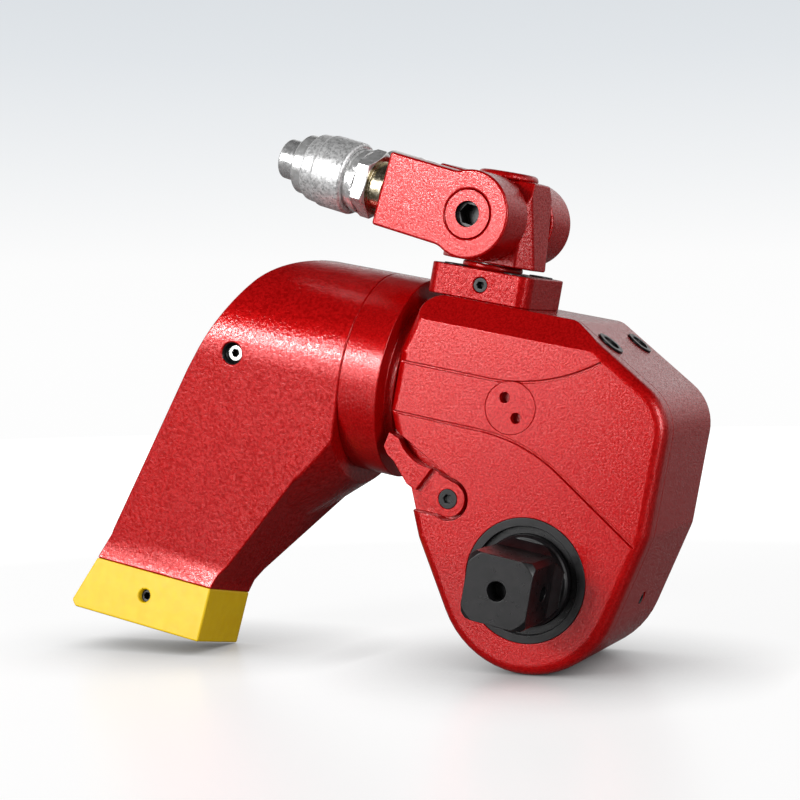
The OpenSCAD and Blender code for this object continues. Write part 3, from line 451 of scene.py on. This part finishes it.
class Solids:
    """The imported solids, with calls that give them edges and finishes."""

    weld_gap: float = 0.002 * MM
    flat_angle: float = math.radians(0.6)

    def __init__(self, frame: dict[str, Any]) -> None:
        """Keep the solids and make each finish once.

        Args:
            frame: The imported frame.
        """
        self.nodes: dict[str, bpy.types.Object] = frame["nodes"]
        self.joints = {joint["name"]: joint for joint in frame["joints"]}
        self.mounts = {mount["name"]: mount for mount in frame["record"]["mounts"]}
        self.materials = {finish: finish.value.make() for finish in Finish}

    def dress(self, names: Sequence[str], finish: Finish, edge: Edge) -> None:
        """Give solids a finish and broken edges.

        Args:
            names: The solids' nodes.
            finish: Their finish.
            edge: Their edges.
        """
        for name in names:
            piece = self.nodes[name]
            mesh = piece.data
            mesh.materials.clear()
            mesh.materials.append(self.materials[finish])
            if "custom_normal" in mesh.attributes:
                mesh.attributes.remove(mesh.attributes["custom_normal"])
            mesh.shade_smooth()
            self.break_edges(piece, edge)
            LOG.info("%s: %s", name, finish.name)

    def paint(self, name: str, finish: Finish, patch: Patch) -> None:
        """Give some faces of a dressed solid another finish.

        Args:
            name: The solid's node.
            finish: The faces' finish.
            patch: The test that picks them.
        """
        mesh = self.nodes[name].data
        mesh.materials.append(self.materials[finish])
        slot = len(mesh.materials) - 1
        picked = [face for face in mesh.polygons if patch.holds(face.center, face.normal)]
        for face in picked:
            face.material_index = slot
        LOG.info("%s: %d faces %s", name, len(picked), finish.name)

    def top(self, name: str, way: Vector) -> float:
        """Return how far a solid reaches one way, in metres."""
        return max(vertex.co.dot(way) for vertex in self.nodes[name].data.vertices)

    def break_edges(self, piece: bpy.types.Object, edge: Edge) -> None:
        """Stack the modifiers that round a solid's sharp edges.

        Args:
            piece: The solid.
            edge: Its edges.
        """
        weld = piece.modifiers.new("weld", "WELD")
        weld.merge_threshold = self.weld_gap
        flat = piece.modifiers.new("flat", "DECIMATE")
        flat.decimate_type = "DISSOLVE"
        flat.angle_limit = self.flat_angle
        flat.delimit = {"MATERIAL"}
        bevel = piece.modifiers.new("edges", "BEVEL")
        bevel.width = edge.width
        bevel.segments = edge.rows
        bevel.limit_method = "ANGLE"
        bevel.angle_limit = edge.angle
        bevel.use_clamp_overlap = False
        normals = piece.modifiers.new("normals", "WEIGHTED_NORMAL")
        normals.keep_sharp = False


@dataclass
class WrenchBody:
    """The ratchet body: housing, cover, drive and lever."""

    solids: Solids
    shell_edge: Edge = Edge(0.5 * MM)
    cover_edge: Edge = Edge(0.3 * MM)
    small_edge: Edge = Edge(0.25 * MM, 2)
    inner_edge: Edge = Edge(0.1 * MM, 1)
    slope: float = math.radians(41.4)
    rim: float = 0.5 * MM
    hollow: float = 2 * MM

    def dress(self) -> None:
        """Give the body's solids their finishes."""
        self.solids.dress(["main_housing"], Finish.RED, self.shell_edge)
        # The swivel base wears the darker copy of the red coat, as painted shade.
        self.solids.dress(["swivel_base"], Finish.SHADED_BASE_RED, self.shell_edge)
        self.solids.dress(["side_cover"], Finish.RED, self.cover_edge)
        self.solids.dress(["pin_access_plug", "release_lever"], Finish.RED, self.small_edge)
        black = ["cover_screws", "front_drive_bush", "handle_hole_plugs", "nose_set_screw", "square_drive"]
        black += ["drive_retainer_cap", "lever_screw", "swivel_base_screws", "swivel_base_set_screw"]
        self.solids.dress(black, Finish.BLACK, self.small_edge)
        steel = ["cylinder_end_cap", "piston", "piston_rod", "piston_nut", "front_drive_plate"]
        steel += ["rear_drive_plate", "rod_pin", "pawl_pin", "pawl_spring", "drive_pawl", "ratchet_wheel"]
        steel += ["retainer_button", "button_spring", "lever_shaft", "holding_pawl", "lever_spring"]
        self.solids.dress(steel, Finish.STEEL, self.inner_edge)
        self.solids.dress(["rear_drive_bush", "rod_gland"], Finish.BRONZE, self.small_edge)
        self.solids.dress(["end_cap_seal", "rod_seal", "piston_seal"], Finish.RUBBER, self.inner_edge)
        self.paint_plugs()

    def paint_plugs(self) -> None:
        """Give the hollows of the handle plugs their pale faces."""
        way = Vector((math.sin(self.slope), 0, math.cos(self.slope)))
        top = self.solids.top("handle_hole_plugs", way)
        hollow = Facing(way, top - self.hollow, top - self.rim)
        self.solids.paint("handle_hole_plugs", Finish.PLUG, hollow)


@dataclass
class ReactionArm:
    """The splined arm with its yellow boot."""

    solids: Solids
    arm_edge: Edge = Edge(0.7 * MM)
    boot_edge: Edge = Edge(0.8 * MM)
    screw_edge: Edge = Edge(0.25 * MM, 2)
    lock_recess: float = 4.45 * MM
    lock_way: Vector = Vector((-0.0069, -0.9994, -0.0344))
    lock_rim: float = 0.5 * MM

    def dress(self) -> None:
        """Give the arm's solids their finishes, with painted shade in black round the lock screw's recess.
        """
        self.solids.dress(["reaction_arm"], Finish.CAST_RED, self.arm_edge)
        self.solids.dress(["reaction_boot"], Finish.YELLOW, self.boot_edge)
        self.solids.dress(["boot_screw", "arm_lock_screw"], Finish.BLACK, self.screw_edge)
        top = self.solids.top("arm_lock_screw", self.lock_way)
        self.solids.paint("arm_lock_screw", Finish.STEEL, Facing(self.lock_way, top - self.lock_rim, top))
        # Painted shade: the arm's faces inside the lock screw's recess are coloured black so the recess
        # reads dark.
        low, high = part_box("arm_lock_screw")
        recess = NearAxis((low + high) / 2, self.lock_way, self.lock_recess)
        self.solids.paint("reaction_arm", Finish.BLACK, recess)


@dataclass
class HoseSwivel:
    """The swivel block with its two hose arms and their couplers."""

    solids: Solids
    arm_edge: Edge = Edge(1.0 * MM, 4)
    block_edge: Edge = Edge(0.8 * MM)
    fitting_edge: Edge = Edge(0.35 * MM, 2)
    bolt_edge: Edge = Edge(0.2 * MM, 2)
    seal_edge: Edge = Edge(0.1 * MM, 1)
    socket_radius: float = 5.0 * MM
    nose_middle: float = 45.85 * MM
    neck_end: float = 5.9 * MM
    nose_start: float = 41.0 * MM

    def dress(self) -> None:
        """Give the swivel's solids their finishes."""
        self.solids.dress(["front_hose_arm", "rear_hose_arm"], Finish.RED, self.arm_edge)
        self.solids.dress(["swivel_block", "swivel_cap", "thrust_washer"], Finish.RED, self.block_edge)
        self.solids.dress(["front_pivot_bolt", "rear_pivot_bolt"], Finish.RED, self.bolt_edge)
        self.solids.dress(["swivel_post", "post_retaining_ring"], Finish.STEEL, self.fitting_edge)
        self.solids.dress(["front_coupler", "rear_nipple"], Finish.ZINC, self.fitting_edge)
        self.solids.dress(["coupler_sleeve"], Finish.WORN, self.fitting_edge)
        self.solids.dress(["post_seals"], Finish.RUBBER, self.seal_edge)
        self.paint_bolts()
        self.paint_coupler()

    def paint_bolts(self) -> None:
        """Blacken the sockets of the two pivot bolts, as painted shade in their hex holes."""
        for end in ("front", "rear"):
            joint = self.solids.joints[f"{end}_hose_arm_tilt"]
            socket = NearAxis(Vector(joint["pos_m"]), Vector(joint["axis"]).normalized(), self.socket_radius)
            self.solids.paint(f"{end}_pivot_bolt", Finish.BLACK, socket)

    def paint_coupler(self) -> None:
        """Give the front coupler its brassy neck and its plain nose."""
        mount = self.solids.mounts["advance_hose_end"]
        way = Vector(mount["axis"]).normalized()
        root = Vector(mount["pos_m"]) - way * self.nose_middle
        self.solids.paint("front_coupler", Finish.BRASS, Slice(root, way, -1.0, self.neck_end))
        self.solids.paint("front_coupler", Finish.STEEL, Slice(root, way, self.nose_start, 1.0))


@dataclass(frozen=True)
class Lamp:
    """A soft lamp that faces the object."""

    name: str
    place: Vector
    width: float
    height: float
    power: float

    def build(self, aim: Vector) -> None:
        """Hang the lamp.

        Args:
            aim: The place that it faces.
        """
        data = bpy.data.lights.new(self.name, "AREA")
        data.shape = "RECTANGLE"
        data.size = self.width
        data.size_y = self.height
        data.energy = self.power
        lamp = bpy.data.objects.new(self.name, data)
        lamp.location = self.place
        lamp.rotation_mode = "QUATERNION"
        lamp.rotation_quaternion = (aim - self.place).to_track_quat("-Z", "Y")
        bpy.context.collection.objects.link(lamp)


@dataclass
class Studio:
    """Pale floor, soft lights and the camera."""

    floor_size: float = 40.0
    floor_level: float = -36.0 * MM
    floor_tone: Colour = grey(0.22)
    floor_rough: float = 0.3
    floor_gloss: float = 0.12
    seen: Stops = (
        (0.0, grey(0.985)),
        (0.05, grey(0.975)),
        (0.165, (0.76, 0.79, 0.82)),
        (0.3, (0.6, 0.64, 0.68)),
    )
    light: Stops = greys((0.0, 0.45), (0.3, 0.2), (0.6, 0.05), (1.0, 0.03))
    front: Stops = greys((0.0, 0.15), (0.3, 0.1), (0.5, 0.06), (1.0, 0.05))
    right: Stops = greys((0.0, 1.2), (0.3, 1.6), (0.5, 0.6), (0.7, 0.05))
    behind: Stops = greys((0.0, 0.3), (0.4, 1.2), (0.6, 0.5), (0.75, 0.04))
    right_start: float = 0.35
    right_end: float = 0.7
    behind_start: float = -0.3
    behind_end: float = 0.3
    near: float = 0.45
    far: float = 2.0
    near_share: float = 0.25
    near_glow: float = 3.24
    # Reach of the painted contact shadow that darkens the floor's glow near the object.
    painted_shadow_reach: float = 0.065
    far_glow: float = 0.985
    eye: Vector = Vector((0.22279, -0.60879, 0.08754))
    turn: float = math.radians(24.123)
    dip: float = math.radians(1.694)
    roll: float = math.radians(-0.873)
    lens: float = 78.09
    sensor: float = 36.0
    middle: Vector = Vector((-0.06, 0.035, 0.05))
    key: Lamp = Lamp("key", Vector((-0.72, -1.3, 0.38)), 0.8, 0.7, 9.0)
    sill: Lamp = Lamp("sill", Vector((-0.72, -1.3, 0.085)), 0.8, 0.1, 0.6)
    glint: Lamp = Lamp("glint", Vector((-0.72, -1.28, 0.57)), 0.42, 0.16, 12.0)
    strip: Lamp = Lamp("strip", Vector((1.25, -0.78, 0.35)), 0.35, 0.9, 9.5)

    def build(self) -> None:
        """Make the camera, the lights, the surroundings and the floor."""
        self.make_camera()
        self.make_surroundings()
        self.make_floor()
        for lamp in (self.key, self.sill, self.glint, self.strip):
            lamp.build(self.middle)

    def make_camera(self) -> None:
        """Place the camera where the photograph was taken from."""
        forward = Vector((-math.sin(self.turn), math.cos(self.turn), 0)) * math.cos(self.dip)
        forward.z = -math.sin(self.dip)
        level = Vector((math.cos(self.turn), math.sin(self.turn), 0))
        above = level.cross(forward)
        right = level * math.cos(self.roll) + above * math.sin(self.roll)
        upward = above * math.cos(self.roll) - level * math.sin(self.roll)
        data = bpy.data.cameras.new("camera")
        data.lens = self.lens
        data.sensor_width = self.sensor
        camera = bpy.data.objects.new("camera", data)
        axes = Matrix((right, upward, -forward)).transposed()
        camera.matrix_world = Matrix.Translation(self.eye) @ axes.to_4x4()
        bpy.context.collection.objects.link(camera)
        bpy.context.scene.camera = camera

    def make_surroundings(self) -> None:
        """Make a pale backdrop for the eye, and a room that is dim overhead and bright behind."""
        world = bpy.data.worlds.new("studio")
        bpy.context.scene.world = world
        world.use_nodes = True
        nodes = Nodes(world.node_tree)
        way = nodes.add("ShaderNodeSeparateXYZ")
        nodes.link(nodes.add("ShaderNodeTexCoord").outputs["Generated"], way.inputs["Vector"])
        up = way.outputs["Z"]
        to_right = nodes.spread(way.outputs["X"], self.right_start, self.right_end, 0.0, 1.0)
        to_back = nodes.spread(way.outputs["Y"], self.behind_start, self.behind_end, 0.0, 1.0)
        mirrored = nodes.mix(to_right, nodes.ramp(up, self.front), nodes.ramp(up, self.right))
        mirrored = nodes.mix(to_back, mirrored, nodes.ramp(up, self.behind))
        path = nodes.add("ShaderNodeLightPath")
        shown = nodes.mix(path.outputs["Is Glossy Ray"], nodes.ramp(up, self.light), mirrored)
        shown = nodes.mix(path.outputs["Is Camera Ray"], shown, nodes.ramp(up, self.seen))
        back = nodes.add("ShaderNodeBackground")
        nodes.link(shown, back.inputs["Color"])
        nodes.link(back.outputs["Background"], nodes.add("ShaderNodeOutputWorld").inputs["Surface"])

    def make_floor(self) -> None:
        """Make a satin floor that looks pale, fades into the backdrop and keeps the object's shadow, partly
        cast by the lights and partly painted by darkening its glow near the object.
        """
        mesh = bpy.data.meshes.new("floor")
        side = self.floor_size
        corners = [(-side, -side, 0), (side, -side, 0), (side, side, 0), (-side, side, 0)]
        mesh.from_pydata(corners, [], [(0, 1, 2, 3)])
        floor = bpy.data.objects.new("floor", mesh)
        floor.location.z = self.floor_level
        bpy.context.collection.objects.link(floor)
        shader = Shader("pale_floor")
        shader.constant(Base_Color=opaque(self.floor_tone), Roughness=self.floor_rough)
        shader.constant(Specular_IOR_Level=self.floor_gloss)
        glow = shader.add("ShaderNodeEmission")
        # Painted contact shadow: ambient occlusion darkens the floor's glow colour near the object.
        shade = shader.add("ShaderNodeAmbientOcclusion", samples=16)
        shade.inputs["Distance"].default_value = self.painted_shadow_reach
        shader.link(shade.outputs["Color"], glow.inputs["Color"])
        reach = shader.add("ShaderNodeVectorMath", operation="LENGTH")
        shader.link(shader.place, reach.inputs[0])
        away = reach.outputs["Value"]
        strength = shader.spread(away, self.near, self.far, self.near_glow, self.far_glow)
        shader.link(strength, glow.inputs["Strength"])
        path = shader.add("ShaderNodeLightPath")
        share = shader.spread(path.outputs["Is Camera Ray"], 0.0, 1.0, 0.0, 1.0)
        most = shader.spread(away, self.near, self.far, self.near_share, 1.0)
        shader.link(most, share.node.inputs["To Max"])
        mix = shader.add("ShaderNodeMixShader")
        shader.link(share, mix.inputs[0])
        shader.link(shader.surface.outputs["BSDF"], mix.inputs[1])
        shader.link(glow.outputs["Emission"], mix.inputs[2])
        shader.link(mix.outputs[0], shader.output.inputs["Surface"])
        mesh.materials.append(shader.material)


def main() -> None:
    """Load the frame, dress each sub-assembly and set the stage."""
    logging.basicConfig(level=logging.INFO, format="%(name)s %(message)s")
    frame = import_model()
    solids = Solids(frame)
    for assembly in (WrenchBody(solids), ReactionArm(solids), HoseSwivel(solids)):
        assembly.dress()
    Studio().build()
    bpy.context.scene.view_settings.view_transform = "Standard"


if __name__ == "__main__":
    main()
